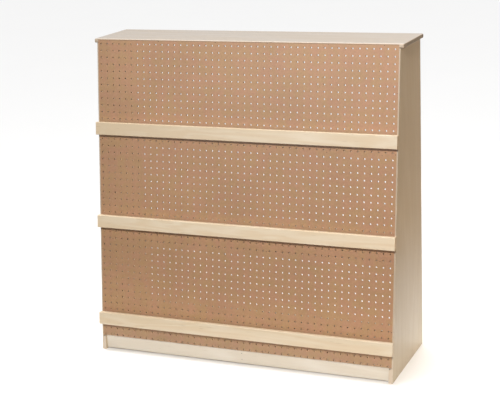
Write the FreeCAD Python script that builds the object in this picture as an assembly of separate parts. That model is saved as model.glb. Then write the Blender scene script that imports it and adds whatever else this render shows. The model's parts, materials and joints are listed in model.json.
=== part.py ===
import FreeCAD, Part
import math
import os

# Pegboard display stand: an open-backed plywood case with three compartments, whose
# sloping front is perforated hardboard with three ledges. The hardboard is three sheets
# that meet behind the upper and the middle ledge.
#
# Millimetres. +X is to the right seen from the front, +Y is to the back, +Z is up.
# The origin is on the floor, midway across the width and midway between the front
# corner of the lowest ledge and the rear edges of the sides.

# ---- driving dimensions ----
INCH = 25.4
BOARD = 5 / 8 * INCH                # thickness of every plywood board
CASE_WIDTH = (46 + 3 / 8) * INCH    # over the outer faces of the sides
CASE_DEPTH = (15 + 3 / 4) * INCH    # at the floor
TOP_SETBACK = 6 * INCH              # how far the front leans back over the full height
TOE_HEIGHT = 59.2                   # floor to the underside of the base shelf
OPENING_HEIGHT = 14 * INCH          # clear height of each compartment
TOP_OVERHANG = 1 / 2 * INCH         # top board past the outer face of each side

PANEL_WIDTH = 46 * INCH             # perforated panel
PANEL_THICKNESS = 1 / 4 * INCH
PANEL_BOTTOM = 57.8                 # panel edges, measured up the slope from the floor
PANEL_TOP = 1196.0
PANEL_SEAM_ROWS = (12.5, 26.5)      # the sheets meet halfway between two rows of holes
HOLE_PITCH = INCH
HOLE_RADIUS = 1 / 8 * INCH
HOLE_COLUMNS = 46
HOLE_ROWS = 45
TOP_ROW = 1180.4                    # up the slope, to the centres of the top row
GRID_SHIFT = -1.4                   # middle of the hole grid, from the middle of the case

LEDGE_LENGTH = 46.5 * INCH
LEDGE_HEIGHT = (1 + 7 / 8) * INCH
LEDGE_THICKNESS = 3 / 4 * INCH
LEDGE_UPPER_ROWS = {"ledge_upper": 12, "ledge_middle": 26, "ledge_lower": 41}
LEDGE_LIFT = 1.4                    # ledge centre above the midpoint of its two hole rows
LEDGE_SCREW_COLUMNS = (2, 10, 18, 27, 35, 43)

TOE_CLEARANCE = 1 / 8 * INCH        # floor to the underside of the kick boards
TOE_RECESS = 14.0                   # front kick board behind the foot of the front
REAR_RECESS = 1 / 2 * INCH          # rear kick board in from the rear edges
CORNER_BLOCK = 35.0                 # leg of each triangular corner block
CORNER_BLOCK_HEIGHT = 44.0
BLOCK_SCREW_OFFSET = 14.0           # from the kick board's inner face
BLOCK_SCREW_BITE = 9.5              # length inside the side panel

TOP_CORNER_RADIUS = 1 / 4 * INCH    # top board's corners in plan
TOP_EDGE_RADIUS = 3 / 16 * INCH     # top board's upper and lower edges
BOARD_EDGE_RADIUS = 1.2             # eased long edges of sides, shelves and kick boards
LEDGE_EDGE_RADIUS = 2.0
RABBET_END_RADIUS = 1 / 4 * INCH    # where the cutter stopped, below the panel

DOWEL_RADIUS = 4.0
DOWEL_LENGTH = 30.0
DOWEL_IN_FACE = 10.0                # depth of a dowel in the board whose face it enters
DOWEL_END_GAP = 0.5                 # spare depth of each dowel hole
DOWEL_INSET = 38.0                  # outermost dowels in from a board's edge
DOWEL_CHAMFER = 1.0

SCREW_RADIUS = 2.1
SCREW_LENGTH = 3 / 4 * INCH
SCREW_HEAD_RADIUS = 4.0
SCREW_HEAD_HEIGHT = 2.4
SCREW_HEAD_ROUND = 1.4              # rounding of the pan head's rim
SCREW_POINT = 1.2                   # taper at the screw's end
WASHER_RADIUS = 6.35
WASHER_BORE = 2.4
WASHER_THICKNESS = 1.2

BRAD_RADIUS = 0.7
BRAD_HEAD_RADIUS = 1.5
BRAD_HEAD_HEIGHT = 0.8
BRAD_LENGTH = 19.0
KICK_BRAD_LENGTH = 38.0
KICK_BRAD_SPACING = 24.0            # between the two brads of each kick board
SIDE_BRAD_LOWEST = 188.2            # up the slope, to the lowest brad at each side
SIDE_BRAD_PITCH = 210.5
SIDE_BRAD_COUNT = 5
SIDE_BRAD_INSET = 3.7               # in from the panel's side edge
TOP_BRAD_INSET = 4.0                # down from the panel's top edge
BOARD_BRAD_COUNT = 6                # brads into the front edge of each shelf and the top
BOARD_BRAD_REACH = 540.0            # outermost of them from the middle

# ---- derived dimensions ----
HALF_CASE = CASE_WIDTH / 2
HALF_CLEAR = HALF_CASE - BOARD
HALF_PANEL = PANEL_WIDTH / 2
HALF_TOP = HALF_CASE + TOP_OVERHANG
SHELF_STEP = OPENING_HEIGHT + BOARD
BASE_Z = TOE_HEIGHT
MIDDLE_Z = BASE_Z + SHELF_STEP
UPPER_Z = MIDDLE_Z + SHELF_STEP
TOP_Z = UPPER_Z + SHELF_STEP
TOTAL_HEIGHT = TOP_Z + BOARD
SLOPE = math.atan(TOP_SETBACK / TOTAL_HEIGHT)
LEDGE_CENTRES = {
    name: TOP_ROW - (row + 0.5) * HOLE_PITCH + LEDGE_LIFT
    for name, row in LEDGE_UPPER_ROWS.items()
}
LOWEST_LEDGE = min(LEDGE_CENTRES.values()) - LEDGE_HEIGHT / 2
LEDGE_FRONT = LOWEST_LEDGE * math.sin(SLOPE) - LEDGE_THICKNESS * math.cos(SLOPE)
# the rounding takes this much off the reach of the lowest ledge's corner
EASED = LEDGE_EDGE_RADIUS * (math.cos(SLOPE) + math.sin(SLOPE) - 1)
REAR_Y = (CASE_DEPTH - LEDGE_FRONT - EASED) / 2
FRONT_Y = REAR_Y - CASE_DEPTH       # foot of the sloping front
KICK_FRONT_Y = FRONT_Y + TOE_RECESS
KICK_REAR_Y = REAR_Y - REAR_RECESS
KICK_MIDDLE_Z = (TOE_CLEARANCE + TOE_HEIGHT) / 2
LONG_EDGE = 100.0                   # no hole or small cut-out has an edge this long


# ---- helpers ----
def vec(x, y, z):
    return FreeCAD.Vector(x, y, z)


def box(x0, x1, y0, y1, z0, z1):
    return Part.makeBox(x1 - x0, y1 - y0, z1 - z0, vec(x0, y0, z0))


def front_y(z, behind=0.0):
    """Y of the plane that lies this far behind the sloping front, at height z."""
    return FRONT_Y + z * math.tan(SLOPE) + behind / math.cos(SLOPE)


def lean(shape):
    """Place a shape drawn upright, with Y = 0 on the front, onto the sloping front."""
    turn = FreeCAD.Rotation(vec(1, 0, 0), -math.degrees(SLOPE))
    shape.Placement = FreeCAD.Placement(vec(0, FRONT_Y, 0), turn).multiply(shape.Placement)
    return shape


def prism_x(points, x0, x1):
    """Prism along X from an outline of (y, z) points."""
    outline = [vec(x0, y, z) for y, z in points]
    outline.append(outline[0])
    return Part.Face(Part.makePolygon(outline)).extrude(vec(x1 - x0, 0, 0))


def long_edges_along_x(shape):
    found = []
    for edge in shape.Edges:
        if edge.Length > LONG_EDGE and abs(edge.tangentAt(edge.FirstParameter).x) > 0.999:
            found.append(edge)
    return found


def rims(shape):
    """Round edges of a shape."""
    return [edge for edge in shape.Edges if isinstance(edge.Curve, Part.Circle)]


def rod(start, direction, radius, length, chamfer=0.0):
    """Round pin; chamfer is taken off the rims of both ends."""
    pin = Part.makeCylinder(radius, length, start, direction)
    if chamfer:
        pin = pin.makeChamfer(chamfer, rims(pin))
    return pin


def headed_pin(start, direction, head_radius, head_height, radius, length):
    """Round pin with a flat head; length includes the head."""
    head = Part.makeCylinder(head_radius, head_height, start, direction)
    shank = Part.makeCylinder(radius, length, start, direction)
    return head.fuse(shank).removeSplitter()


def spread(first, last, count):
    return [first + (last - first) * i / (count - 1) for i in range(count)]


def column_x(column):
    return GRID_SHIFT + (column - (HOLE_COLUMNS - 1) / 2) * HOLE_PITCH


def row_s(row):
    return TOP_ROW - row * HOLE_PITCH


# ---- dowels: (start, direction) ----
def end_dowel_lines(z, y_values):
    """Horizontal dowels joining a board's two ends to the sides."""
    lines = []
    for sign in (-1, 1):
        for y in y_values:
            start = vec(sign * (HALF_CLEAR + DOWEL_IN_FACE), y, z)
            lines.append((start, vec(-sign, 0, 0)))
    return lines


def top_dowel_lines():
    """Upright dowels joining the tops of the sides to the top board."""
    lines = []
    for sign in (-1, 1):
        for y in spread(front_y(TOP_Z) + DOWEL_INSET, REAR_Y - DOWEL_INSET, 3):
            start = vec(sign * (HALF_CASE - BOARD / 2), y, TOP_Z + DOWEL_IN_FACE)
            lines.append((start, vec(0, 0, -1)))
    return lines


def shelf_dowel_lines(z):
    first = front_y(z, PANEL_THICKNESS) + DOWEL_INSET
    return end_dowel_lines(z + BOARD / 2, spread(first, REAR_Y - DOWEL_INSET, 3))


def kick_dowel_lines():
    y_values = (KICK_FRONT_Y + BOARD / 2, KICK_REAR_Y - BOARD / 2)
    return end_dowel_lines(KICK_MIDDLE_Z, y_values)


def dowels(lines):
    return Part.makeCompound([
        rod(start, direction, DOWEL_RADIUS, DOWEL_LENGTH, DOWEL_CHAMFER)
        for start, direction in lines
    ])


def drill_dowels(board, lines):
    """Cut the blind dowel holes, each a little deeper than its dowel at both ends."""
    for start, direction in lines:
        mouth = start - direction * DOWEL_END_GAP
        board = board.cut(rod(mouth, direction, DOWEL_RADIUS, DOWEL_LENGTH + 2 * DOWEL_END_GAP))
    return board


DOWEL_LINES = {
    "top_dowels": top_dowel_lines(),
    "upper_shelf_dowels": shelf_dowel_lines(UPPER_Z),
    "middle_shelf_dowels": shelf_dowel_lines(MIDDLE_Z),
    "base_shelf_dowels": shelf_dowel_lines(BASE_Z),
    "kick_board_dowels": kick_dowel_lines(),
}


# ---- panel brads, drawn upright like the panel: (x, height up the slope) ----
def between_columns(x):
    """Nearest place halfway between two columns of holes."""
    return column_x(round((x - column_x(0)) / HOLE_PITCH - 0.5) + 0.5)


def panel_brad_places():
    places = []
    for x in (-HALF_PANEL + SIDE_BRAD_INSET, HALF_PANEL - SIDE_BRAD_INSET):
        for i in range(SIDE_BRAD_COUNT):
            places.append((x, SIDE_BRAD_LOWEST + i * SIDE_BRAD_PITCH))
    heights = [PANEL_TOP - TOP_BRAD_INSET]
    for z in (BASE_Z, MIDDLE_Z, UPPER_Z):
        # the shelf's middle, carried square to the panel out to its front face
        heights.append((z + BOARD / 2) / math.cos(SLOPE) - PANEL_THICKNESS * math.tan(SLOPE))
    for s in heights:
        for x in spread(-BOARD_BRAD_REACH, BOARD_BRAD_REACH, BOARD_BRAD_COUNT):
            places.append((between_columns(x), s))
    return places


PANEL_BRADS = panel_brad_places()


def panel_brads():
    """Brads driven square to the sloping front, their heads level with the surface."""
    return lean(Part.makeCompound([
        headed_pin(
            vec(x, 0, s), vec(0, 1, 0),
            BRAD_HEAD_RADIUS, BRAD_HEAD_HEIGHT, BRAD_RADIUS, BRAD_LENGTH,
        )
        for x, s in PANEL_BRADS
    ]))


def drill_panel_brads(board):
    shanks = [rod(vec(x, 0, s), vec(0, 1, 0), BRAD_RADIUS, BRAD_LENGTH) for x, s in PANEL_BRADS]
    return board.cut(lean(Part.makeCompound(shanks)))


# ---- boards ----
def rabbet(sign):
    """The step in a side's front edge, with the round end that the cutter leaves."""
    outer = HALF_PANEL
    inner = HALF_CLEAR - 1.0
    low = PANEL_BOTTOM - RABBET_END_RADIUS
    high = PANEL_TOP + BOARD
    r = RABBET_END_RADIUS
    half = r * math.sqrt(0.5)
    front = -BOARD
    arc = Part.Arc(
        vec(outer - r, front, low),
        vec(outer - r + half, front, low + r - half),
        vec(outer, front, low + r),
    )
    corners = [(outer, low + r), (outer, high), (inner, high), (inner, low), (outer - r, low)]
    straight = Part.makePolygon([vec(x, front, z) for x, z in corners])
    outline = Part.Wire([arc.toShape()] + straight.Edges)
    step = Part.Face(outline).extrude(vec(0, PANEL_THICKNESS - front, 0))
    if sign < 0:
        step = step.mirror(vec(0, 0, 0), vec(1, 0, 0))
    return lean(step)


def side_panel(sign):
    x0, x1 = sorted((sign * HALF_CLEAR, sign * HALF_CASE))
    outline = [
        (FRONT_Y, 0.0),
        (REAR_Y, 0.0),
        (REAR_Y, TOP_Z),
        (front_y(TOP_Z), TOP_Z),
    ]
    side = prism_x(outline, x0, x1)
    uprights = [e for e in side.Edges if e.BoundBox.ZLength > TOP_Z - 1.0]
    side = side.makeFillet(BOARD_EDGE_RADIUS, uprights)
    side = side.cut(rabbet(sign))
    for lines in DOWEL_LINES.values():
        side = drill_dowels(side, [line for line in lines if line[0].x * sign > 0])
    side = drill_panel_brads(side)
    return side.cut(block_screws())


def shelf(z, dowel_lines):
    """Shelf between the sides, its front edge bevelled to lie against the panel."""
    outline = [
        (front_y(z, PANEL_THICKNESS), z),
        (REAR_Y, z),
        (REAR_Y, z + BOARD),
        (front_y(z + BOARD, PANEL_THICKNESS), z + BOARD),
    ]
    board = prism_x(outline, -HALF_CLEAR, HALF_CLEAR)
    rear = [e for e in long_edges_along_x(board) if e.CenterOfMass.y > REAR_Y - 1.0]
    board = board.makeFillet(BOARD_EDGE_RADIUS, rear)
    return drill_panel_brads(drill_dowels(board, dowel_lines))


def top_board():
    """Overhanging top, stepped along the front so that the panel runs up into it."""
    outline = [
        (front_y(TOP_Z), TOP_Z),
        (REAR_Y, TOP_Z),
        (REAR_Y, TOTAL_HEIGHT),
        (front_y(TOTAL_HEIGHT), TOTAL_HEIGHT),
    ]
    board = prism_x(outline, -HALF_TOP, HALF_TOP)
    corners = [e for e in board.Edges if e.Length < BOARD + 1.0]
    board = board.makeFillet(TOP_CORNER_RADIUS, corners)
    level = [e for e in board.Edges if e.BoundBox.ZLength < 0.01]
    board = board.makeFillet(TOP_EDGE_RADIUS, level)
    low = PANEL_TOP - 2 * BOARD
    step = box(-HALF_PANEL, HALF_PANEL, -BOARD, PANEL_THICKNESS, low, PANEL_TOP)
    board = board.cut(lean(step))
    return drill_panel_brads(drill_dowels(board, DOWEL_LINES["top_dowels"]))


def perforated_sheet(low, high):
    """Hardboard sheet between two heights up the slope, with its share of the holes."""
    corners = [(-HALF_PANEL, low), (HALF_PANEL, low), (HALF_PANEL, high), (-HALF_PANEL, high)]
    corners.append(corners[0])
    wires = [Part.makePolygon([vec(x, 0, s) for x, s in corners])]
    holes = []
    for row in range(HOLE_ROWS):
        for column in range(HOLE_COLUMNS):
            holes.append((column_x(column), row_s(row), HOLE_RADIUS))
    brads = [(x, s) for x, s in PANEL_BRADS if low < s < high]
    for x, s in brads:
        holes.append((x, s, BRAD_RADIUS))
    for x, s, radius in holes:
        if low < s < high:
            wires.append(Part.Wire(Part.makeCircle(radius, vec(x, 0, s), vec(0, 1, 0))))
    face = Part.makeFace(wires, "Part::FaceMakerBullseye")
    sheet = face.extrude(vec(0, PANEL_THICKNESS, 0))
    # seats of the brads' heads
    heads = [rod(vec(x, 0, s), vec(0, 1, 0), BRAD_HEAD_RADIUS, BRAD_HEAD_HEIGHT) for x, s in brads]
    return lean(sheet.cut(Part.makeCompound(heads)))


def panel_sheets():
    """Node name and shape of each sheet, from the top down."""
    seams = [row_s(row) for row in PANEL_SEAM_ROWS]
    highs = [PANEL_TOP] + seams
    lows = seams + [PANEL_BOTTOM]
    names = ("pegboard_upper", "pegboard_middle", "pegboard_lower")
    return [
        (name, perforated_sheet(low, high))
        for name, low, high in zip(names, lows, highs)
    ]


# ---- ledges ----
def ledge_screw_places(name):
    """(x, height up the slope) of the screws, in the ledge's upper and lower row by turns."""
    places = []
    for i, column in enumerate(LEDGE_SCREW_COLUMNS):
        row = LEDGE_UPPER_ROWS[name] + i % 2
        places.append((column_x(column), row_s(row)))
    return places


def ledge_screw(x, s):
    """Pan-head screw from behind: its head bears on a washer on the panel's back."""
    seat = vec(x, PANEL_THICKNESS + WASHER_THICKNESS, s)
    shank = Part.makeCylinder(SCREW_RADIUS, SCREW_LENGTH, seat, vec(0, -1, 0))
    end = [e for e in rims(shank) if e.CenterOfMass.y < seat.y - 1.0]
    shank = shank.makeChamfer(SCREW_POINT, end)
    head = Part.makeCylinder(SCREW_HEAD_RADIUS, SCREW_HEAD_HEIGHT, seat, vec(0, 1, 0))
    rim = [e for e in rims(head) if e.CenterOfMass.y > seat.y + 1.0]
    head = head.makeFillet(SCREW_HEAD_ROUND, rim)
    return head.fuse(shank).removeSplitter()


def ledge(name):
    """Hardwood strip, flat against the panel, with pilot holes for its screws."""
    centre = LEDGE_CENTRES[name]
    half = LEDGE_LENGTH / 2
    low = centre - LEDGE_HEIGHT / 2
    strip = box(-half, half, -LEDGE_THICKNESS, 0.0, low, low + LEDGE_HEIGHT)
    front = [e for e in long_edges_along_x(strip) if e.CenterOfMass.y < -1.0]
    strip = strip.makeFillet(LEDGE_EDGE_RADIUS, front)
    depth = SCREW_LENGTH - PANEL_THICKNESS - WASHER_THICKNESS
    for x, s in ledge_screw_places(name):
        strip = strip.cut(rod(vec(x, 0, s), vec(0, -1, 0), SCREW_RADIUS, depth))
    return lean(strip)


def ledge_screws():
    screws = []
    for name in LEDGE_CENTRES:
        screws += [ledge_screw(x, s) for x, s in ledge_screw_places(name)]
    return lean(Part.makeCompound(screws))


def ledge_washers():
    washers = []
    for name in LEDGE_CENTRES:
        for x, s in ledge_screw_places(name):
            start = vec(x, PANEL_THICKNESS, s)
            disc = rod(start, vec(0, 1, 0), WASHER_RADIUS, WASHER_THICKNESS)
            bore = rod(start, vec(0, 1, 0), WASHER_BORE, WASHER_THICKNESS)
            washers.append(disc.cut(bore))
    return lean(Part.makeCompound(washers))


# ---- plinth ----
def kick_board(y_front):
    board = box(
        -HALF_CLEAR, HALF_CLEAR, y_front, y_front + BOARD, TOE_CLEARANCE, TOE_HEIGHT
    )
    low = [e for e in long_edges_along_x(board) if e.CenterOfMass.z < KICK_MIDDLE_Z]
    board = board.makeFillet(BOARD_EDGE_RADIUS, low)
    board = drill_dowels(board, DOWEL_LINES["kick_board_dowels"])
    return board.cut(kick_brads())


def centre_support():
    """Board on edge under the middle of the base shelf, from kick board to kick board."""
    board = box(
        -BOARD / 2, BOARD / 2,
        KICK_FRONT_Y + BOARD, KICK_REAR_Y - BOARD,
        TOE_CLEARANCE, TOE_HEIGHT,
    )
    return board.cut(kick_brads())


def kick_brads():
    """Two brads through the middle of each kick board into the support's end."""
    brads = []
    for y, direction in ((KICK_FRONT_Y, 1), (KICK_REAR_Y, -1)):
        for up in (-KICK_BRAD_SPACING / 2, KICK_BRAD_SPACING / 2):
            brads.append(headed_pin(
                vec(0, y, KICK_MIDDLE_Z + up), vec(0, direction, 0),
                BRAD_HEAD_RADIUS, BRAD_HEAD_HEIGHT, BRAD_RADIUS, KICK_BRAD_LENGTH,
            ))
    return Part.makeCompound(brads)


# (side, y of the kick board's inner face, direction away from it) of each corner block
CORNERS = [
    (sign, y, direction)
    for sign in (-1, 1)
    for y, direction in ((KICK_FRONT_Y + BOARD, 1), (KICK_REAR_Y - BOARD, -1))
]


def block_screw_start(sign, y, direction):
    """Centre of the screw's head, on the block's sloping face."""
    x = HALF_CLEAR - (CORNER_BLOCK - BLOCK_SCREW_OFFSET)
    z = TOE_HEIGHT - CORNER_BLOCK_HEIGHT / 2
    return vec(sign * x, y + direction * BLOCK_SCREW_OFFSET, z)


def block_screw(sign, y, direction):
    """Countersunk screw from the block into the side, square to the side's inner face."""
    start = block_screw_start(sign, y, direction)
    axis = vec(sign, 0, 0)
    length = CORNER_BLOCK - BLOCK_SCREW_OFFSET + BLOCK_SCREW_BITE
    shank = Part.makeCylinder(SCREW_RADIUS, length, start, axis)
    head = Part.makeCone(SCREW_HEAD_RADIUS, SCREW_RADIUS, SCREW_HEAD_HEIGHT, start, axis)
    return head.fuse(shank).removeSplitter()


def block_screws():
    return Part.makeCompound([block_screw(*corner) for corner in CORNERS])


def corner_block(sign, y, direction):
    """Triangular glue block where a kick board meets a side, under the base shelf."""
    corner = vec(sign * HALF_CLEAR, y, TOE_HEIGHT)
    along_kick = corner - vec(sign * CORNER_BLOCK, 0, 0)
    along_side = corner + vec(0, direction * CORNER_BLOCK, 0)
    outline = Part.makePolygon([corner, along_kick, along_side, corner])
    block = Part.Face(outline).extrude(vec(0, 0, -CORNER_BLOCK_HEIGHT))
    start = block_screw_start(sign, y, direction)
    way_in = rod(start, vec(-sign, 0, 0), SCREW_HEAD_RADIUS, CORNER_BLOCK)
    return block.cut(block_screw(sign, y, direction)).cut(way_in)


def corner_blocks():
    return Part.makeCompound([corner_block(*corner) for corner in CORNERS])


def write(name, shape):
    shape.exportStep("parts/" + name + ".step")
    print(name, len(shape.Solids), shape.isValid(), round(shape.Volume / 1000, 1), "cm3")


os.makedirs("parts", exist_ok=True)
write("side_panel_left", side_panel(-1))
write("side_panel_right", side_panel(1))
write("top_board", top_board())
write("upper_shelf", shelf(UPPER_Z, DOWEL_LINES["upper_shelf_dowels"]))
write("middle_shelf", shelf(MIDDLE_Z, DOWEL_LINES["middle_shelf_dowels"]))
write("base_shelf", shelf(BASE_Z, DOWEL_LINES["base_shelf_dowels"]))
write("kick_board_front", kick_board(KICK_FRONT_Y))
write("kick_board_rear", kick_board(KICK_REAR_Y - BOARD))
write("base_centre_support", centre_support())
for sheet_name, sheet in panel_sheets():
    write(sheet_name, sheet)
for ledge_name in LEDGE_CENTRES:
    write(ledge_name, ledge(ledge_name))
for group_name, group_lines in DOWEL_LINES.items():
    write(group_name, dowels(group_lines))
write("ledge_screws", ledge_screws())
write("ledge_washers", ledge_washers())
write("pegboard_brads", panel_brads())
write("kick_board_brads", kick_brads())
write("corner_blocks", corner_blocks())
write("corner_block_screws", block_screws())
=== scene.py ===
import json
import math
import random

import bmesh
import bpy
from mathutils import Matrix, Vector


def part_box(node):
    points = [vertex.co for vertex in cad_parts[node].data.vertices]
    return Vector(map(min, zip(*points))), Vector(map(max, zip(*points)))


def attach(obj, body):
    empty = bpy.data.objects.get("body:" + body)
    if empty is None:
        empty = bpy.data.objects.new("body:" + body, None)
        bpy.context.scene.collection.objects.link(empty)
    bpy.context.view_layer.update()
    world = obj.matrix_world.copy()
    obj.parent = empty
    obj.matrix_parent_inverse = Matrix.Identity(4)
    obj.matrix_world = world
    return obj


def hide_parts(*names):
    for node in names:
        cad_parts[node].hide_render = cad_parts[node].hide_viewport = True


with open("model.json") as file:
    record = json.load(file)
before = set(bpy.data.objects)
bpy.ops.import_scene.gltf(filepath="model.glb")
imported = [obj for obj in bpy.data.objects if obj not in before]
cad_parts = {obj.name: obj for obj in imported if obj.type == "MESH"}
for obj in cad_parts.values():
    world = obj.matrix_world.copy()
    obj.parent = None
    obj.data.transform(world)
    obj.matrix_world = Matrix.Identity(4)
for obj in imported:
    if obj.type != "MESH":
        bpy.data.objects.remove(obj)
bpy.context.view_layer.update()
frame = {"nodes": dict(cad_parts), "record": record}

# ---- sizes that only the looks need ----
MM = 0.001
PEG_PITCH = 25.4 * MM
HOLE_SIDES = 16                 # a multiple of four, so that each side of a cell gets a quarter
FRONT_LIP = 0.35 * MM           # rounding that the punch leaves on the front of each hole
BACK_LIP = 0.45 * MM            # wider break-out on the back
EDGE_MARGIN = 1.0 * MM          # least hardboard between a hole and the sheet's edge
PLY = 15.875 / 11 * MM          # eleven plies in each board
SCREEN_PITCH = 1.9 * MM         # weave of the press screen on the hardboard's back
JOINT_SHADOW = 3.2 * MM          # height of the painted shadow line where the panel meets the top board
LEDGE_SHADE = 17.0 * MM          # height of the painted shade above each ledge
BEHIND_LEDGE = 5.0 * MM         # how far up behind a ledge its painted shade fades in
LOW_SHADE_FADE = 20.0 * MM          # how far up behind the lowest ledge the painted shade below it fades
X, Y, Z = 0, 1, 2

# ---- what the frame says ----
PEG = next(m for m in frame["record"]["mounts"] if m["name"] == "peg_hole_upper")
PEG_PLACE = Vector(PEG["pos_m"])
HOLE_RADIUS = PEG["dims"]["r_mm"] * MM
RIGHT = Vector((1.0, 0.0, 0.0))
OUT = Vector(PEG["axis"]).normalized()      # square to the sloping front, away from it
UP = OUT.cross(RIGHT)                       # up the slope
SLOPE_FRAME = Matrix((RIGHT, UP, OUT)).transposed()


def extent(node, direction):
    """Lowest and highest reach of a CAD node along a direction."""
    reach = [v.co.dot(direction) for v in frame["nodes"][node].data.vertices]
    return min(reach), max(reach)


def solids(node):
    """The corner points of each separate solid in a CAD node, in a fixed order."""
    mesh = bmesh.new()
    mesh.from_mesh(frame["nodes"][node].data)
    bmesh.ops.remove_doubles(mesh, verts=mesh.verts, dist=0.001 * MM)
    seen = set()
    groups = []
    for first in mesh.verts:
        if first in seen:
            continue
        seen.add(first)
        waiting = [first]
        group = []
        while waiting:
            vertex = waiting.pop()
            group.append(vertex.co.copy())
            for edge in vertex.link_edges:
                other = edge.other_vert(vertex)
                if other not in seen:
                    seen.add(other)
                    waiting.append(other)
        groups.append(group)
    mesh.free()
    return groups


def seats(node, axis_of):
    """Where each solid of a node sits: a matrix from a part drawn up Z from the origin."""
    found = []
    for points in solids(node):
        axis = axis_of(sum(points, Vector()) / len(points))
        side = axis.orthogonal().normalized()
        basis = Matrix((side, axis.cross(side), axis)).transposed()
        local = [basis.transposed() @ p for p in points]
        low = Vector([min(p[i] for p in local) for i in range(3)])
        high = Vector([max(p[i] for p in local) for i in range(3)])
        start = Vector(((low.x + high.x) / 2, (low.y + high.y) / 2, low.z))
        found.append(Matrix.Translation(basis @ start) @ basis.to_4x4())
    return found


PANEL_TOP = extent("pegboard_upper", UP)[1]
LEDGE_SPANS = [extent(node, UP) for node in ("ledge_upper", "ledge_middle", "ledge_lower")]


# ---- mesh helpers ----
SHARP_ANGLE = math.radians(32.0)


def show(name, mesh, materials, node):
    """Put a mesh in the scene as a piece that stands for a CAD node."""
    mesh.validate()
    mesh.shade_smooth()
    mesh.set_sharp_from_angle(angle=SHARP_ANGLE)
    for material in materials:
        mesh.materials.append(material)
    piece = bpy.data.objects.new(name, mesh)
    bpy.context.scene.collection.objects.link(piece)
    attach(piece, "root")
    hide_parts(node)


def turned(profile, sides, closed=False):
    """Closed mesh turned about Z. A profile point is (radius, height), and its radius may be
    a function of the angle. A closed profile makes a ring, any other ends on the axis."""
    verts = []
    faces = []
    rings = profile if closed else profile[1:-1]
    angles = [2 * math.pi * k / sides for k in range(sides)]
    for radius, height in rings:
        for angle in angles:
            r = radius(angle) if callable(radius) else radius
            verts.append((r * math.cos(angle), r * math.sin(angle), height))
    spans = len(rings) if closed else len(rings) - 1
    for i in range(spans):
        a = i * sides
        b = (i + 1) % len(rings) * sides
        for k in range(sides):
            n = (k + 1) % sides
            faces.append((a + k, a + n, b + n, b + k))
    if not closed:
        last = len(verts) - sides
        for height, start, turn in ((profile[0][1], 0, -1), (profile[-1][1], last, 1)):
            verts.append((0.0, 0.0, height))
            for k in range(sides):
                pair = (start + k, start + (k + 1) % sides)[::turn]
                faces.append((len(verts) - 1, *pair))
    return verts, faces


def solid_mesh(name, verts, faces):
    """Mesh with its faces turned outwards."""
    shape = bmesh.new()
    points = [shape.verts.new(v) for v in verts]
    for face in faces:
        shape.faces.new([points[i] for i in face])
    bmesh.ops.recalc_face_normals(shape, faces=shape.faces)
    mesh = bpy.data.meshes.new(name)
    shape.to_mesh(mesh)
    shape.free()
    return mesh


def repeated(name, mesh, places):
    """One mesh that holds a copy at each place."""
    whole = bmesh.new()
    for place in places:
        copy = mesh.copy()
        copy.transform(place)
        whole.from_mesh(copy)
        bpy.data.meshes.remove(copy)
    result = bpy.data.meshes.new(name)
    whole.to_mesh(result)
    whole.free()
    return result


def cut_out(mesh, tool):
    """The mesh less the tool."""
    body = bpy.data.objects.new("cut_body", mesh)
    cutter = bpy.data.objects.new("cut_tool", tool)
    for item in (body, cutter):
        bpy.context.scene.collection.objects.link(item)
    step = body.modifiers.new("cut", "BOOLEAN")
    step.operation = "DIFFERENCE"
    step.solver = "EXACT"
    step.object = cutter
    bpy.context.view_layer.update()
    evaluated = body.evaluated_get(bpy.context.evaluated_depsgraph_get())
    result = bpy.data.meshes.new_from_object(evaluated)
    for item in (body, cutter):
        bpy.data.objects.remove(item)
    return result


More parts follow.
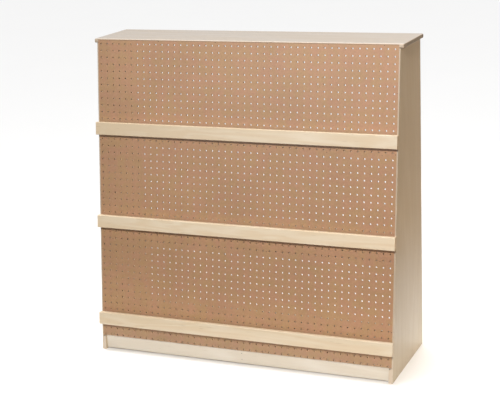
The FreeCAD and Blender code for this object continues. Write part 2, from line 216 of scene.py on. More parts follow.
# ---- materials ----
class Shader:
    """A material and short calls for the nodes that its pattern is made of."""

    def __init__(self, name, constants):
        self.material = bpy.data.materials.new(name)
        self.material.use_nodes = True
        self.tree = self.material.node_tree
        self.surface = self.tree.nodes["Principled BSDF"]
        for key, value in constants.items():
            self.surface.inputs[key].default_value = value

    def add(self, kind, values=None, **settings):
        """A new node with these settings. A value may be another node's output."""
        node = self.tree.nodes.new("ShaderNode" + kind)
        for key, value in settings.items():
            setattr(node, key, value)
        for key, value in (values or {}).items():
            if isinstance(value, bpy.types.NodeSocket):
                self.tree.links.new(value, node.inputs[key])
            else:
                node.inputs[key].default_value = value
        return node

    def math(self, operation, a, b=0.0):
        return self.add("Math", {0: a, 1: b}, operation=operation).outputs[0]

    def fit(self, value, low, high, to_low=0.0, to_high=1.0):
        """Smooth step of a value from one range to another."""
        values = {
            "Value": value,
            "From Min": low,
            "From Max": high,
            "To Min": to_low,
            "To Max": to_high,
        }
        return self.add("MapRange", values, interpolation_type="SMOOTHSTEP").outputs[0]

    def blend(self, factor, a, b, mode="MIX"):
        """Colour a where the factor is 0, and b, or a times b, where it is 1."""
        values = {0: factor, 6: a, 7: b}
        return self.add("Mix", values, data_type="RGBA", blend_type=mode).outputs[2]

    def tint(self, colour, factor):
        """Colour times a number."""
        grey = self.add("CombineColor", {0: factor, 1: factor, 2: factor}).outputs[0]
        return self.blend(1.0, colour, grey, "MULTIPLY")

    def place(self, scale=(1, 1, 1), offset=(0, 0, 0), turn=(0, 0, 0)):
        """Coordinates on the stand, stretched, moved and turned."""
        here = self.add("TexCoord").outputs["Object"]
        values = {"Vector": here, "Scale": scale, "Location": offset, "Rotation": turn}
        return self.add("Mapping", values).outputs[0]

    def along(self, vector, axis):
        """One coordinate of a vector."""
        return self.add("SeparateXYZ", {0: vector}).outputs[axis]

    def noise(self, vector, scale, detail=2.0, roughness=0.5, distortion=0.0):
        values = {
            "Vector": vector,
            "Scale": scale,
            "Detail": detail,
            "Roughness": roughness,
            "Distortion": distortion,
        }
        return self.add("TexNoise", values).outputs[0]

    def times(self, a, b):
        return self.math("MULTIPLY", a, b)

    def stain(self, colour, mask, strength, stain):
        """Colour with this strength of a stain where the mask is 1."""
        return self.blend(self.times(mask, strength), colour, stain)

    def facing(self, axis, low, high):
        """Smooth step, from low to high, of how far a face looks along an axis: 1 is straight
        along it, either way, and 0 is square to it."""
        normal = self.add("NewGeometry").outputs["Normal"]
        return self.fit(self.math("ABSOLUTE", self.along(normal, axis)), low, high)

    def edges(self, radius):
        """1 on rounded and sharp edges, 0 on flat faces."""
        rounded = self.add("Bevel", {"Radius": radius}, samples=4).outputs[0]
        flat = self.add("NewGeometry").outputs["Normal"]
        same = self.add("VectorMath", {0: rounded, 1: flat}, operation="DOT_PRODUCT")
        return self.fit(same.outputs["Value"], 0.985, 0.80)

    def finish(self, colour, roughness, height, depth):
        """Join colour, roughness and a height pattern of this depth to the surface."""
        values = {"Height": height, "Distance": depth, "Strength": 1.0}
        bump = self.add("Bump", values).outputs[0]
        for key, value in (("Base Color", colour), ("Roughness", roughness), ("Normal", bump)):
            self.tree.links.new(value, self.surface.inputs[key])
        return self.material


# paler colour of rubbed edges, which also serves as a painted highlight on them
RUBBED_AND_HIGHLIT_WOOD = (0.90, 0.80, 0.64, 1)


def grain(shader, axis, seed, figure_scale):
    """Tone from 0, pale, to 1, dark, the fine fibres, and the flecks, of wood that runs
    along an axis."""
    rng = random.Random(seed)
    offset = [rng.uniform(-9, 9) for _ in range(3)]

    def stretch(share):
        return shader.place([share if i == axis else 1.0 for i in range(3)], offset)

    wave = shader.noise(stretch(0.12), figure_scale, 2.0, 0.45, 0.5)
    rings = shader.math("SINE", shader.times(wave, 46.0))
    streaks = shader.noise(stretch(0.02), 70.0, 3.0, 0.6)
    fibres = shader.noise(stretch(0.015), 650.0, 2.0, 0.6)
    cloud = shader.noise(stretch(0.5), 5.0, 2.0)
    tone = 0.11
    for part, amount in ((rings, 0.11), (streaks, 0.45), (fibres, 0.25), (cloud, 0.45)):
        tone = shader.math("ADD", shader.times(part, amount), tone)
    tone = shader.fit(tone, 0.30, 0.95)
    flecks = shader.noise(stretch(0.05), 420.0, 1.0)
    return tone, fibres, shader.fit(flecks, 0.66, 0.78)


def rubbed_and_highlit(shader, colour, radius, scale, strength):
    """Colour of wood, paler in patches on its edges: rubbed wear, and a painted highlight where the
    edges catch the light.
    """
    wear_and_highlight = shader.times(shader.edges(radius), shader.noise(shader.place(), scale, 3.0))
    return shader.stain(colour, wear_and_highlight, strength, RUBBED_AND_HIGHLIT_WOOD)


def plies(shader, fibres, grain_axis, thickness_axis, lowest):
    """Colour of the cut edges of plywood, and a mask of the glue lines in them."""
    here = shader.place()
    layer = shader.math("SUBTRACT", shader.along(here, thickness_axis), lowest)
    layer = shader.math("DIVIDE", layer, PLY)
    warp = shader.noise(here, 30.0, 1.0)
    layer = shader.math("ADD", layer, shader.times(warp, 0.12))
    odd = shader.math("MODULO", shader.math("FLOOR", layer), 2.0)
    within = shader.math("FRACT", layer)
    glue = shader.math("MAXIMUM", shader.fit(within, 0.10, 0.02), shader.fit(within, 0.90, 0.98))
    pores = shader.noise(shader.place(offset=(3, 5, 7)), 900.0, 2.0, 0.7)
    end_ply = shader.blend(pores, (0.58, 0.46, 0.35, 1), (0.47, 0.36, 0.26, 1))
    long_ply = shader.blend(fibres, (0.66, 0.57, 0.45, 1), (0.55, 0.46, 0.35, 1))
    colour = shader.blend(odd, long_ply, end_ply)
    colour = shader.stain(colour, glue, 0.55, (0.30, 0.19, 0.11, 1))
    end = shader.facing(grain_axis, 0.5, 0.9)
    return shader.tint(colour, shader.fit(end, 0.0, 1.0, 1.0, 0.62)), glue


def plywood(name, pale, dark, grain_axis, thickness_axis, lowest, seed):
    """Lacquered birch plywood: veneer on the faces and plies on the edges."""
    shader = Shader(name, {"Coat Weight": 0.22, "Coat Roughness": 0.22, "IOR": 1.48})
    tone, fibres, flecks = grain(shader, grain_axis, seed, 9.0)
    veneer = shader.blend(tone, pale, dark)
    veneer = shader.stain(veneer, flecks, 0.35, (0.30, 0.20, 0.11, 1))
    cut, glue = plies(shader, fibres, grain_axis, thickness_axis, lowest)
    edge = shader.facing(thickness_axis, 0.90, 0.60)
    colour = rubbed_and_highlit(shader, shader.blend(edge, veneer, cut), 2.2 * MM, 40.0, 0.28)
    shine = shader.fit(tone, 0.0, 1.0, 0.36, 0.46)
    shine = shader.math("ADD", shine, shader.times(edge, 0.14))
    height = shader.math("SUBTRACT", fibres, flecks)
    height = shader.math("SUBTRACT", height, shader.times(glue, edge))
    return shader.finish(colour, shine, height, 0.05 * MM)


def end_grain(shader, dark):
    """Colour of the growth rings on the ends of solid timber."""
    wave = shader.noise(shader.place(), 55.0, 1.0)
    rings = shader.math("SINE", shader.times(wave, 60.0))
    tone = shader.times(shader.fit(rings, -1.0, 1.0), 0.6)
    darkest = (dark[0] * 0.62, dark[1] * 0.58, dark[2] * 0.52, 1)
    return shader.blend(tone, dark, darkest)


def solid_wood(name, pale, dark, grain_axis, seed, coat, figure_scale=14.0, left_tone=0.0):
    """Solid timber with end grain where its ends show. left_tone darkens it to the left."""
    shader = Shader(name, {"Coat Weight": coat, "Coat Roughness": 0.2, "IOR": 1.48})
    tone, fibres, flecks = grain(shader, grain_axis, seed, figure_scale)
    if left_tone:
        across = shader.along(shader.place(), X)
        tone = shader.math("ADD", tone, shader.fit(across, -0.65, 0.45, left_tone, 0.0))
    colour = shader.blend(tone, pale, dark)
    colour = shader.stain(colour, flecks, 0.30, (0.34, 0.22, 0.12, 1))
    end = shader.facing(grain_axis, 0.60, 0.90)
    colour = shader.blend(end, colour, end_grain(shader, dark))
    colour = rubbed_and_highlit(shader, colour, 2.0 * MM, 60.0, 0.25)
    shine = shader.fit(tone, 0.0, 1.0, 0.34, 0.44)
    shine = shader.math("ADD", shine, shader.times(end, 0.2))
    return shader.finish(colour, shine, shader.math("SUBTRACT", fibres, flecks), 0.05 * MM)


def hardboard_fibres(shader):
    """Short crossing fibres, about 0 to 1."""
    total = 0.0
    for turn, offset in ((0.3, 1.0), (1.2, 4.0), (2.2, 7.0), (2.9, 11.0)):
        stretched = shader.place((1.0, 0.3, 0.16), (offset, 0, 0), (0, turn, 0))
        fibre = shader.noise(stretched, 620.0, 1.0)
        total = shader.math("MAXIMUM", fibre, total)
    return shader.fit(total, 0.52, 0.82)


def painted_shade(shader, colour):
    """Painted shade: a shadow line at the top joint, a band above each ledge and the strip below the
    lowest one.
    """
    values = {0: shader.place(), 1: UP}
    height = shader.add("VectorMath", values, operation="DOT_PRODUCT").outputs["Value"]
    # painted shadow line in the joint below the top board
    joint_shadow = shader.fit(height, PANEL_TOP - JOINT_SHADOW, PANEL_TOP - 0.6 * MM)
    colour = shader.stain(colour, joint_shadow, 0.75, (0.14, 0.07, 0.035, 1))
    # painted shade on the panel just above each ledge
    for foot, top in LEDGE_SPANS:
        ledge_shade = shader.fit(height, top + LEDGE_SHADE, top)
        ledge_shade = shader.times(ledge_shade, shader.fit(height, foot, foot + BEHIND_LEDGE))
        colour = shader.blend(ledge_shade, colour, (0.70, 0.74, 0.78, 1), "MULTIPLY")
    # painted shade on the panel below the lowest ledge
    lowest = LEDGE_SPANS[-1][0]
    low_shade = shader.fit(height, lowest + LOW_SHADE_FADE, lowest)
    return shader.blend(low_shade, colour, (0.78, 0.83, 0.88, 1), "MULTIPLY")


def hardboard_front():
    """Smooth tempered face of the sheets, mottled and finely speckled."""
    shader = Shader("hardboard_front", {"Coat Weight": 0.12, "Coat Roughness": 0.35, "IOR": 1.46})
    here = shader.place()
    patch = shader.fit(shader.noise(here, 26.0, 3.0, 0.6), 0.32, 0.68)
    colour = shader.blend(patch, (0.481, 0.252, 0.142, 1), (0.456, 0.267, 0.125, 1))
    cloud = shader.noise(here, 4.5, 3.0, 0.55)
    fibres = hardboard_fibres(shader)
    speck = shader.noise(here, 1100.0, 2.0, 0.7)
    light = shader.fit(cloud, 0.25, 0.75, 0.93, 1.05)
    light = shader.times(light, shader.fit(speck, 0.2, 0.8, 0.90, 1.08))
    colour = shader.tint(colour, light)
    colour = shader.stain(colour, fibres, 0.30, (0.62, 0.42, 0.27, 1))
    dark = shader.fit(shader.noise(shader.place(offset=(5, 5, 5)), 240.0, 2.0), 0.66, 0.76)
    colour = shader.stain(colour, dark, 0.45, (0.20, 0.11, 0.06, 1))
    shine = shader.fit(speck, 0.2, 0.8, 0.42, 0.58)
    height = shader.math("ADD", fibres, speck)
    return shader.finish(painted_shade(shader, colour), shine, height, 0.03 * MM)


def hardboard_cut():
    """Raw fibres on the walls of the holes and on the sheets' edges."""
    shader = Shader("hardboard_cut", {"IOR": 1.4})
    here = shader.place()
    rough = shader.noise(here, 1500.0, 3.0, 0.7)
    layers = shader.noise(shader.place((0.2, 1.0, 0.2)), 900.0, 2.0)
    colour = shader.blend(rough, (0.50, 0.33, 0.20, 1), (0.37, 0.22, 0.12, 1))
    colour = shader.stain(colour, layers, 0.4, (0.58, 0.40, 0.26, 1))
    return shader.finish(colour, shader.fit(rough, 0.0, 1.0, 0.8, 0.95), rough, 0.12 * MM)


def hardboard_back():
    """Back of the sheets, printed with the weave of the press screen."""
    shader = Shader("hardboard_back", {"IOR": 1.4})
    here = shader.place()
    turns = 2 * math.pi / SCREEN_PITCH
    across = shader.math("SINE", shader.times(shader.along(here, X), turns))
    upward = shader.math("SINE", shader.times(shader.along(here, Z), turns))
    weave = shader.fit(shader.times(across, upward), -0.8, 0.8)
    patch = shader.noise(here, 12.0, 4.0, 0.6)
    fibres = hardboard_fibres(shader)
    colour = shader.blend(patch, (0.36, 0.215, 0.13, 1), (0.27, 0.155, 0.088, 1))
    colour = shader.tint(colour, shader.fit(weave, 0.0, 1.0, 0.80, 1.08))
    colour = shader.stain(colour, fibres, 0.35, (0.50, 0.33, 0.20, 1))
    return shader.finish(colour, shader.fit(patch, 0.0, 1.0, 0.78, 0.92), weave, 0.18 * MM)


def steel(name, base, worn, edge_wear):
    """Plated steel with dull patches and turned marks, brighter where edges are rubbed."""
    shader = Shader(name, {"Metallic": 1.0})
    here = shader.place()
    patch = shader.noise(here, 260.0, 3.0, 0.6)
    marks = shader.noise(shader.place(offset=(2, 3, 4)), 2400.0, 2.0)
    colour = shader.blend(shader.fit(patch, 0.35, 0.75), base, worn)
    colour = shader.stain(colour, shader.edges(0.4 * MM), edge_wear, (0.82, 0.82, 0.80, 1))
    shine = shader.fit(patch, 0.2, 0.8, 0.24, 0.48)
    return shader.finish(colour, shine, marks, 0.01 * MM)


# pale and dark tone of each wood
BIRCH = ((0.700, 0.628, 0.520, 1), (0.620, 0.535, 0.415, 1))
MAPLE = ((0.840, 0.735, 0.575, 1), (0.760, 0.610, 0.420, 1))
BEECH = ((0.640, 0.450, 0.290, 1), (0.480, 0.310, 0.180, 1))
SOFTWOOD = ((0.740, 0.560, 0.340, 1), (0.520, 0.340, 0.170, 1))


# ---- perforated sheets ----
def hole_places(low, high, through):
    """Places of the whole holes in a sheet, along one direction, on the grid that passes
    through a known place."""
    margin = HOLE_RADIUS + EDGE_MARGIN
    first = math.ceil((low + margin - through) / PEG_PITCH)
    last = math.floor((high - margin - through) / PEG_PITCH)
    return [through + i * PEG_PITCH for i in range(first, last + 1)]


def cell_lines(places, low, high):
    """Boundaries of the cells, one round each hole."""
    middles = [(a + b) / 2 for a, b in zip(places, places[1:])]
    return [low] + middles + [high]


# material slots of a sheet
FACE, CUT, REAR = 0, 1, 2


class Sheet:
    """A sheet while its holes are put in. It is drawn flat: across, up, and out to the front.
    Its corner points are those of the cells, in rows, first in front and then behind."""

    def __init__(self, lines_x, lines_s, front, back):
        self.wide = len(lines_x)
        self.tall = len(lines_s)
        self.verts = [(x, s, out) for out in (front, back) for s in lines_s for x in lines_x]
        self.behind = self.wide * self.tall
        self.faces = []
        self.kinds = []
        self.rings = (
            (HOLE_RADIUS + FRONT_LIP, front),
            (HOLE_RADIUS, front - FRONT_LIP),
            (HOLE_RADIUS, back + BACK_LIP),
            (HOLE_RADIUS + BACK_LIP, back),
        )

    def add_face(self, kind, corners):
        """One face with its material slot."""
        self.faces.append(corners)
        self.kinds.append(kind)

    def add_hole(self, column, row, x, s):
        """One hole, and the flat faces from its rims to the corners of its cell."""
        first = len(self.verts)
        for radius, out in self.rings:
            for k in range(HOLE_SIDES):
                angle = math.pi * (2 * k / HOLE_SIDES - 0.75)
                self.verts.append((x + radius * math.cos(angle), s + radius * math.sin(angle), out))
        last = first + (len(self.rings) - 1) * HOLE_SIDES
        self.add_cell(row * self.wide + column, first, last)
        for upper in range(first, last, HOLE_SIDES):
            lower = upper + HOLE_SIDES
            for k in range(HOLE_SIDES):
                n = (k + 1) % HOLE_SIDES
                self.add_face(CUT, [upper + k, upper + n, lower + n, lower + k])

    def add_cell(self, near, first, last):
        """Four faces round a hole's front rim and four round its back rim."""
        corners = (near, near + 1, near + self.wide + 1, near + self.wide)
        quarter = HOLE_SIDES // 4
        for side in range(4):
            a = corners[side]
            b = corners[(side + 1) % 4]
            rim = [(side * quarter + k) % HOLE_SIDES for k in range(quarter, -1, -1)]
            self.add_face(FACE, [a, b] + [first + k for k in rim])
            rim.reverse()
            self.add_face(REAR, [last + k for k in rim] + [self.behind + b, self.behind + a])

    def add_edge(self, a, b):
        """Face across the sheet's thickness between two corner points."""
        self.add_face(CUT, [a, self.behind + a, self.behind + b, b])

    def add_edges(self):
        """The sheet's four edges, cell by cell."""
        top = (self.tall - 1) * self.wide
        for i in range(self.wide - 1):
            self.add_edge(i, i + 1)
            self.add_edge(top + i + 1, top + i)
        for j in range(self.tall - 1):
            left = j * self.wide
            right = left + self.wide - 1
            self.add_edge(left + self.wide, left)
            self.add_edge(right, right + self.wide)


def perforated_sheet(node):
    """Sheet with every hole, its punched lip in front and its broken rim behind."""
    left, right = extent(node, RIGHT)
    low, high = extent(node, UP)
    back, front = extent(node, OUT)
    columns = hole_places(left, right, PEG_PLACE.x)
    rows = hole_places(low, high, PEG_PLACE.dot(UP))
    sheet = Sheet(cell_lines(columns, left, right), cell_lines(rows, low, high), front, back)
    for row, s in enumerate(rows):
        for column, x in enumerate(columns):
            sheet.add_hole(column, row, x, s)
    sheet.add_edges()
    mesh = bpy.data.meshes.new(node)
    mesh.from_pydata(sheet.verts, [], sheet.faces)
    mesh.polygons.foreach_set("material_index", sheet.kinds)
    mesh.transform(SLOPE_FRAME.to_4x4())
    return mesh


def make_panel():
    materials = (hardboard_front(), hardboard_cut(), hardboard_back())
    for node in ("pegboard_upper", "pegboard_middle", "pegboard_lower"):
        show(node + "_sheet", perforated_sheet(node), materials, node)


# ---- fasteners ----
SCREW_CORE = 1.45 * MM
SCREW_CREST = 2.1 * MM
SCREW_SIDES = 20
THREAD_STEPS = 6                # rings of points in one turn of a thread
THREAD_SHARPNESS = 3.2          # 2 fills the pitch with the ridge, and more makes it narrower
CROSS = (0.95 * MM, 4.4 * MM, 1.7 * MM)     # width, length and depth of a driver's cross
DOWEL_RADIUS = 4.0 * MM
DOWEL_END_RADIUS = 3.0 * MM
DOWEL_LENGTH = 30.0 * MM
FLUTE_DEPTH = 0.38 * MM
FLUTES = 18


def cross_recess(width, length, depth):
    """Tapered cross that a Phillips driver fits, opening at height 0 and going up Z."""
    verts = []
    for height, share in ((-0.5 * MM, 1.15), (depth, 0.34)):
        w = width / 2 * max(share, 0.6)
        r = length / 2 * share
        for sx, sy in ((1, 1), (-1, 1), (-1, -1), (1, -1)):
            corner = [(sx * r, sy * w), (sx * w, sy * w), (sx * w, sy * r)]
            if sx * sy < 0:
                corner.reverse()
            verts += [(x, y, height) for x, y in corner]
    faces = [tuple(range(12)), tuple(range(12, 24))]
    for k in range(12):
        n = (k + 1) % 12
        faces.append((k, n, n + 12, k + 12))
    return solid_mesh("recess", verts, faces)


def threaded(pitch, low, high):
    """Rings of a screw thread between two heights, fading out at both ends."""
    rings = []
    steps = int((high - low) / pitch * THREAD_STEPS)
    for i in range(steps + 1):
        height = low + (high - low) * i / steps
        fade = min(1.0, (height - low) / pitch, (high - height) / (2 * pitch))

        def radius(angle, height=height, fade=fade):
            phase = (height / pitch - angle / (2 * math.pi)) % 1.0
            ridge = max(0.0, 1.0 - abs(phase - 0.5) * THREAD_SHARPNESS)
            return SCREW_CORE + (SCREW_CREST - SCREW_CORE) * ridge * fade

        rings.append((radius, height))
    return rings


def pan_screw():
    """Pan-head screw 21.45 mm long over all, head first."""
    head = [(0, 0), (1.6, 0.04), (2.7, 0.30), (3.5, 0.85), (3.9, 1.5), (4.0, 2.0), (3.9, 2.4)]
    profile = [(r * MM, h * MM) for r, h in head]
    profile += [(2.1 * MM, 2.4 * MM), (1.55 * MM, 2.9 * MM)]
    profile += threaded(1.6 * MM, 3.2 * MM, 19.8 * MM)
    profile += [(0.7 * MM, 20.9 * MM), (0, 21.45 * MM)]
    body = solid_mesh("pan_screw", *turned(profile, SCREW_SIDES))
    return cut_out(body, cross_recess(*CROSS))


def flat_screw():
    """Countersunk screw 30.5 mm long over all, head first."""
    head = [(0, 0), (3.85, 0), (4.0, 0.15), (2.1, 2.4), (1.6, 3.2)]
    profile = [(r * MM, h * MM) for r, h in head]
    profile += threaded(1.7 * MM, 6.0 * MM, 28.6 * MM)
    profile += [(0.7 * MM, 29.8 * MM), (0, 30.5 * MM)]
    body = solid_mesh("flat_screw", *turned(profile, SCREW_SIDES))
    return cut_out(body, cross_recess(*CROSS))


def washer():
    """Flat ring whose edges are rounded off on both faces."""
    front = [(2.4, 0.25), (2.65, 0.0), (6.05, 0.0), (6.35, 0.3)]
    back = [(6.35, 0.9), (6.05, 1.2), (2.65, 1.2), (2.4, 0.95)]
    rings = [(r * MM, h * MM) for r, h in front + back]
    return solid_mesh("washer", *turned(rings, sides=40, closed=True))


def brad(length, head_radius):
    """Panel brad, head first, with a domed head and a cut point."""
    profile = [(0, -0.12), (0.6, -0.10), (0.92, -0.03), (1.0, 0.15), (1.0, 0.6), (0.78, 0.8)]
    rings = [(r * head_radius, h * MM) for r, h in profile]
    rings += [(0.7 * MM, 1.2 * MM), (0.7 * MM, length - 1.6 * MM)]
    rings += [(0.15 * MM, length - 0.1 * MM), (0, length)]
    return solid_mesh("brad", *turned(rings, sides=14))


def dowel():
    """Fluted beech dowel with chamfered ends."""
    def fluted(angle):
        return DOWEL_RADIUS - FLUTE_DEPTH * max(0.0, math.cos(FLUTES * angle)) ** 2

    profile = [(0, 0), (DOWEL_END_RADIUS, 0)]
    profile += [(fluted, height * MM) for height in (1.0, 15.0, 29.0)]
    profile += [(DOWEL_END_RADIUS, DOWEL_LENGTH), (0, DOWEL_LENGTH)]
    return solid_mesh("dowel", *turned(profile, sides=4 * FLUTES))


def sideways(centre):
    """Direction from the middle of the stand out through the nearer side."""
    return RIGHT if centre.x > 0 else -RIGHT


def kick_direction(centre):
    """Inwards from the front or the rear kick board, whichever a brad is in."""
    low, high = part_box("base_centre_support")
    return Vector((0, 1, 0)) if centre.y < (low.y + high.y) / 2 else Vector((0, -1, 0))


def brad_head_radius():
    """Half the width of a kick-board brad, whose head is its widest part."""
    reach = [p.x for p in solids("kick_board_brads")[0]]
    return (max(reach) - min(reach)) / 2


def make_fasteners():
    zinc = steel("zinc_plate", (0.66, 0.66, 0.64, 1), (0.42, 0.41, 0.38, 1), 0.4)
    nails = steel("brad_steel", (0.10, 0.08, 0.07, 1), (0.05, 0.04, 0.03, 1), 0.02)
    beech = solid_wood("turned_beech", *BEECH, Z, 31, 0.0, 60.0)
    head = brad_head_radius()
    groups = (
        ("ledge_screws", pan_screw(), lambda centre: OUT, zinc, "zinc_steel"),
        ("ledge_washers", washer(), lambda centre: OUT, zinc, "zinc_steel"),
        ("corner_block_screws", flat_screw(), sideways, zinc, "zinc_steel"),
        ("pegboard_brads", brad(19.0 * MM, head), lambda centre: -OUT, nails, "zinc_steel"),
        ("kick_board_brads", brad(38.0 * MM, head), kick_direction, nails, "zinc_steel"),
        ("top_dowels", dowel(), lambda centre: Vector((0, 0, 1)), beech, "beech"),
        ("upper_shelf_dowels", dowel(), sideways, beech, "beech"),
        ("middle_shelf_dowels", dowel(), sideways, beech, "beech"),
        ("base_shelf_dowels", dowel(), sideways, beech, "beech"),
        ("kick_board_dowels", dowel(), sideways, beech, "beech"),
    )
    for node, mesh, axis_of, material, slot_name in groups:
        name = node + "_set"
        show(name, repeated(name, mesh, seats(node, axis_of)), [material], node)


# ---- boards: CAD nodes that keep their shape ----
def finish_cad(node, material):
    """Give a CAD node its look."""
    for place in frame["nodes"][node].material_slots:
        place.material = material


def make_boards():
    # node, grain along, plies stacked along, tint of its veneer, strength of its figure
    boards = (
        ("side_panel_left", Z, X, (0.90, 0.82, 0.70), 0.7),
        ("side_panel_right", Z, X, (0.87, 0.80, 0.66), 0.3),
        ("top_board", X, Z, (0.95, 0.97, 1.07), 1.0),
        # the three shelves' paler tint is painted light: it brightens the shelf tops seen through
        # the holes
        ("upper_shelf", X, Z, (1.06, 1.05, 1.02), 1.0),
        ("middle_shelf", X, Z, (1.06, 1.04, 1.00), 1.0),
        ("base_shelf", X, Z, (1.05, 1.03, 0.98), 1.0),
        ("kick_board_front", X, Y, (0.98, 1.00, 1.04), 1.0),
        ("kick_board_rear", X, Y, (1.00, 0.97, 0.92), 1.0),
        ("base_centre_support", Y, X, (0.94, 0.90, 0.84), 1.0),
    )
    for seed, (node, grain_axis, thickness_axis, tint, figure) in enumerate(boards):
        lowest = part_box(node)[0][thickness_axis]
        pale, dark = [tuple(c * t for c, t in zip(tone, (*tint, 1.0))) for tone in BIRCH]
        dark = tuple(p + (d - p) * figure for p, d in zip(pale, dark))
        name = "birch_" + node
        finish_cad(node, plywood(name, pale, dark, grain_axis, thickness_axis, lowest, seed))
    # node, brightness, how much darker its left end is
    ledges = (("ledge_upper", 0.96, 0.45), ("ledge_middle", 1.08, 0.15), ("ledge_lower", 0.92, 0.20))
    for seed, (node, light, left_tone) in enumerate(ledges):
        pale, dark = [tuple(c * light for c in tone[:3]) + (1,) for tone in MAPLE]
        wood = solid_wood("maple_" + node, pale, dark, X, 40 + seed, 0.25, left_tone=left_tone)
        finish_cad(node, wood)
    finish_cad("corner_blocks", solid_wood("softwood_blocks", *SOFTWOOD, Z, 50, 0.0, 30.0))


# ---- stage, lights and camera ----
FLOOR_REACH = 30.0
WALL_RADIUS = 29.0
WALL_HEIGHT = 16.0
WALL_SIDES = 64
CARD_HEIGHT = 0.01              # how high the level cards lie over the floor
STUDIO_WHITE = (0.93, 0.93, 0.93, 1)


def hide_from(item, *rays):
    """Keep these kinds of ray from meeting an item."""
    for kind in rays:
        setattr(item, "visible_" + kind, False)


def stage_mesh(name, verts, faces, material):
    """Floor, wall or card: part of the studio, not of the stand."""
    mesh = bpy.data.meshes.new(name)
    mesh.from_pydata(verts, [], faces)
    mesh.materials.append(material)
    item = bpy.data.objects.new(name, mesh)
    bpy.context.scene.collection.objects.link(item)
    return item


def level_sheet(name, x0, x1, y0, y1, height, material):
    verts = [(x0, y0, height), (x1, y0, height), (x1, y1, height), (x0, y1, height)]
    return stage_mesh(name, verts, [(0, 1, 2, 3)], material)


def upright_sheet(name, x, y0, y1, low, high, material):
    verts = [(x, y0, low), (x, y1, low), (x, y1, high), (x, y0, high)]
    return stage_mesh(name, verts, [(0, 1, 2, 3)], material)


def round_wall(name, material):
    angles = [2 * math.pi * k / WALL_SIDES for k in range(WALL_SIDES)]
    ring = [(WALL_RADIUS * math.cos(angle), WALL_RADIUS * math.sin(angle)) for angle in angles]
    verts = [(x, y, z) for z in (0.0, WALL_HEIGHT) for x, y in ring]
    faces = []
    for k in range(WALL_SIDES):
        n = (k + 1) % WALL_SIDES
        faces.append((n, k, k + WALL_SIDES, n + WALL_SIDES))
    return stage_mesh(name, verts, faces, material)


def matt(name, colour, glow=0.0):
    """Studio paint with no gloss."""
    shader = Shader(name, {"Specular IOR Level": 0.0, "Emission Strength": glow})
    soft = shader.noise(shader.place(), 1.2, 2.0)
    shade = shader.tint(colour, shader.fit(soft, 0.2, 0.8, 0.995, 1.0))
    return shader.finish(shade, shader.fit(soft, 0.0, 1.0, 0.9, 1.0), soft, 0.001 * MM)


def add_light(name, kind, power, direction, place=(0, 0, 0)):
    """Light that shines along a direction. The camera doesn't see it."""
    light = bpy.data.lights.new(name, kind)
    light.energy = power
    item = bpy.data.objects.new(name, light)
    bpy.context.scene.collection.objects.link(item)
    item.location = place
    item.rotation_euler = Vector(direction).to_track_quat("-Z", "Y").to_euler()
    hide_from(item, "camera")
    return item


def soft_box(name, place, target, size, power, colour=(1, 1, 1), spread=180.0):
    """Rectangular lamp that points at a target."""
    item = add_light(name, "AREA", power, Vector(target) - Vector(place), place)
    item.data.shape = "RECTANGLE"
    item.data.size, item.data.size_y = size
    item.data.color = colour
    item.data.spread = math.radians(spread)
    return item


def make_floor():
    paint = matt("floor_paint", STUDIO_WHITE)
    reach = (-FLOOR_REACH, FLOOR_REACH)
    level_sheet("studio_floor", *reach, *reach, 0.0, paint)
    # pale wall far off, which only the camera sees and only from low angles
    wall = round_wall("studio_wall", matt("wall_paint", STUDIO_WHITE, glow=0.42))
    hide_from(wall, "shadow", "diffuse", "glossy", "transmission")


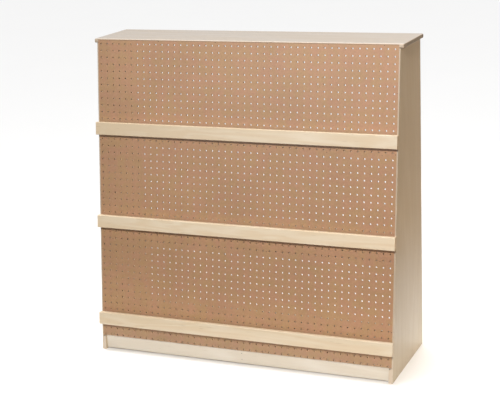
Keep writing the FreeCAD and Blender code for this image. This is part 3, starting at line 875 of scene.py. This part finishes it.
def make_cards():
    """Cards that the camera doesn't see and that cast no shadow. They tone down the light
    that the white floor throws back."""
    paint = matt("side_card_paint", (0.72, 0.58, 0.43, 1))
    tan = upright_sheet("side_card", 0.92, -1.4, 1.6, 0.05, 3.2, paint)
    hide_from(tan, "camera", "shadow")
    paint = matt("front_card_paint", (0.10, 0.08, 0.06, 1))
    dark = level_sheet("front_card", -8.0, 8.0, -14.0, -0.4, CARD_HEIGHT, paint)
    hide_from(dark, "camera", "shadow")
    # in reflections only: the floor's sheen on the lower part of the right side
    paint = matt("sheen_card_paint", (0.66, 0.72, 0.78, 1))
    grey = level_sheet("sheen_card", 0.62, 2.5, -0.35, 4.0, CARD_HEIGHT, paint)
    hide_from(grey, "camera", "shadow", "diffuse")


def make_lights():
    """Dim even surroundings, a soft sun overhead and four lamps."""
    scene = bpy.context.scene
    scene.view_settings.view_transform = "Standard"
    scene.world = bpy.data.worlds.new("studio")
    scene.world.use_nodes = True
    background = scene.world.node_tree.nodes["Background"]
    background.inputs["Color"].default_value = (1.0, 0.99, 0.97, 1)
    background.inputs["Strength"].default_value = 0.07

    overhead = add_light("overhead_light", "SUN", 2.9, (0.12, -0.10, -1.0))
    overhead.data.angle = math.radians(20)
    soft_box(
        "key_box", place=(1.05, -3.9, 3.55), target=(0.05, 0, 0.75), size=(0.45, 0.45),
        power=190.0, colour=(1.0, 0.985, 0.96),
    )
    back = soft_box(
        "back_box", place=(0, 3.4, 0.75), target=(0, 0.2, 0.6), size=(1.0, 1.0),
        power=9.0, spread=50.0,
    )
    toe = soft_box(
        "toe_box", place=(0.1, -2.3, 0.09), target=(0, -0.19, 0.02), size=(2.6, 0.10),
        power=0.25, spread=16.0,
    )
    for item in (back, toe):
        hide_from(item, "glossy")
    # a sheen on the panel's upper right, and no other light
    sheen = soft_box(
        "sheen_box", place=(-1.3, -4.4, 1.9), target=(0.3, 0, 1.0), size=(1.6, 1.4), power=80.0,
    )
    hide_from(sheen, "diffuse")


def make_camera():
    """Camera at the photograph's viewpoint."""
    place = (1.7797, -4.0905, 1.8256)
    yaw, pitch, roll = (math.radians(a) for a in (22.775, 16.72, 2.513))
    data = bpy.data.cameras.new("camera")
    data.sensor_width = 36.0
    data.lens = 89.1
    data.shift_x = -0.041
    data.shift_y = 0.051
    camera = bpy.data.objects.new("camera", data)
    bpy.context.scene.collection.objects.link(camera)
    turn = Matrix.Rotation(yaw, 4, "Z") @ Matrix.Rotation(math.pi / 2 - pitch, 4, "X")
    turn = turn @ Matrix.Rotation(-roll, 4, "Z")
    camera.matrix_world = Matrix.Translation(place) @ turn
    bpy.context.scene.camera = camera


make_camera()
make_floor()
make_cards()
make_lights()
make_boards()
make_panel()
make_fasteners()
